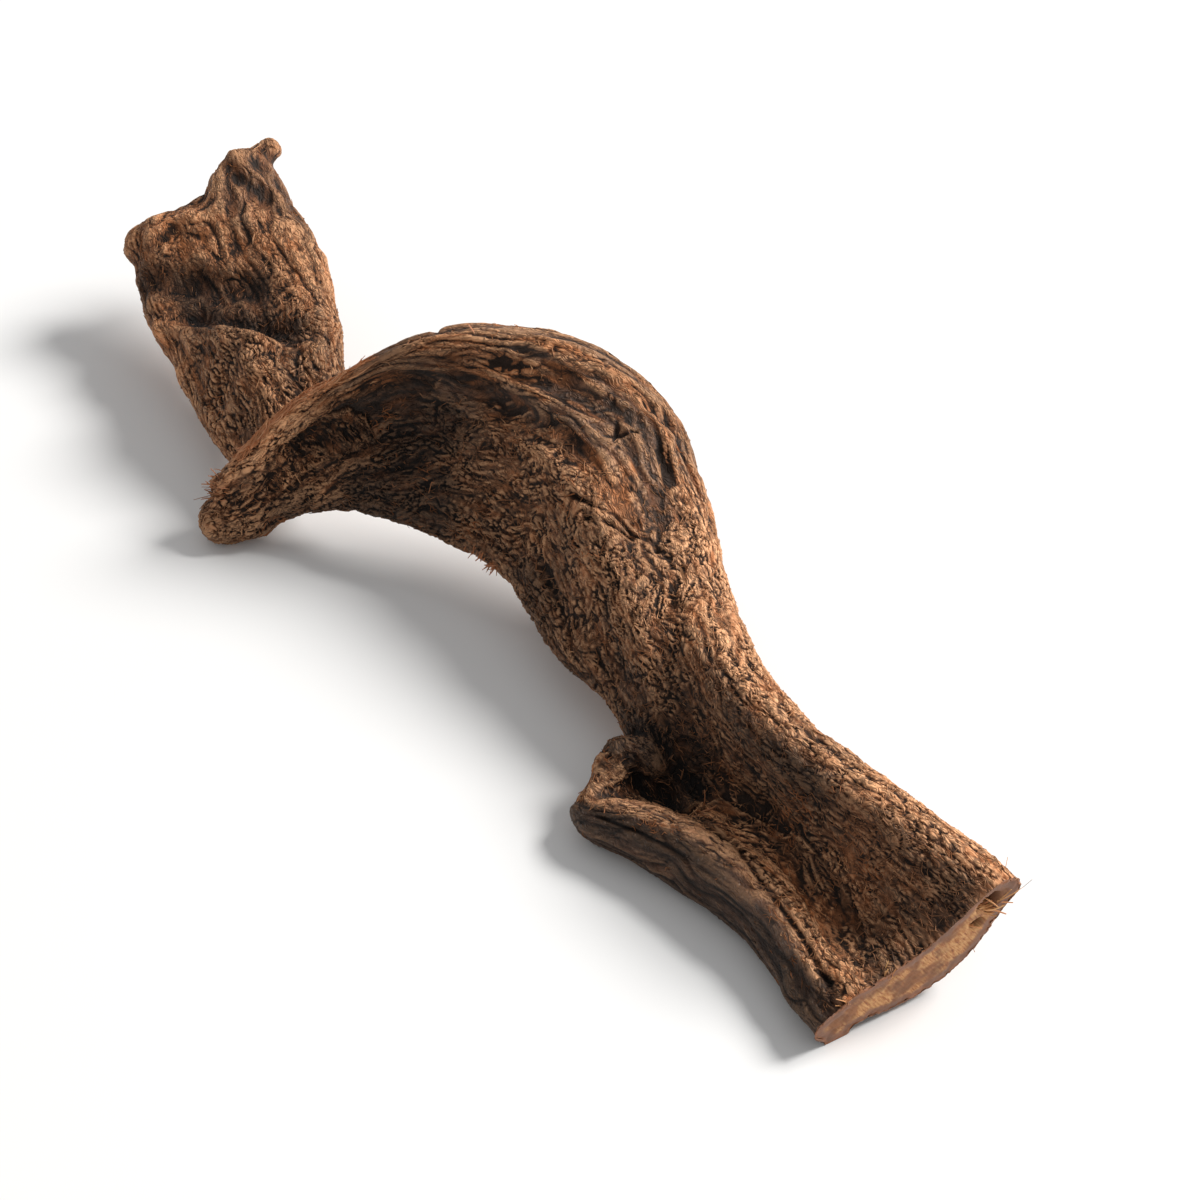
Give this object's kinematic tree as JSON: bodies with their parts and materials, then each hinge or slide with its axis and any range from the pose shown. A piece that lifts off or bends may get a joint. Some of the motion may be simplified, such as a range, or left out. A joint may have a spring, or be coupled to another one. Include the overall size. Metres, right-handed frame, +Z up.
{
  "type": "driftwood branch",
  "caption": "Gnarled driftwood branch with a folded trough at its sawn end, an arched middle on a small foot and a fan-shaped root end.",
  "frame": {"origin": "centre of the bounding box's underside, on the surface that the branch lies on", "axes": "+X along the branch towards its sawn end, +Y towards its high ridge, +Z up"},
  "size_m": [0.3954, 0.1128, 0.0735],
  "materials": {
    "bark": "matt, fibrous and weathered"
  },
  "bodies": {
    "root": {"driftwood_branch": "bark"}
  },
  "joints": []
}
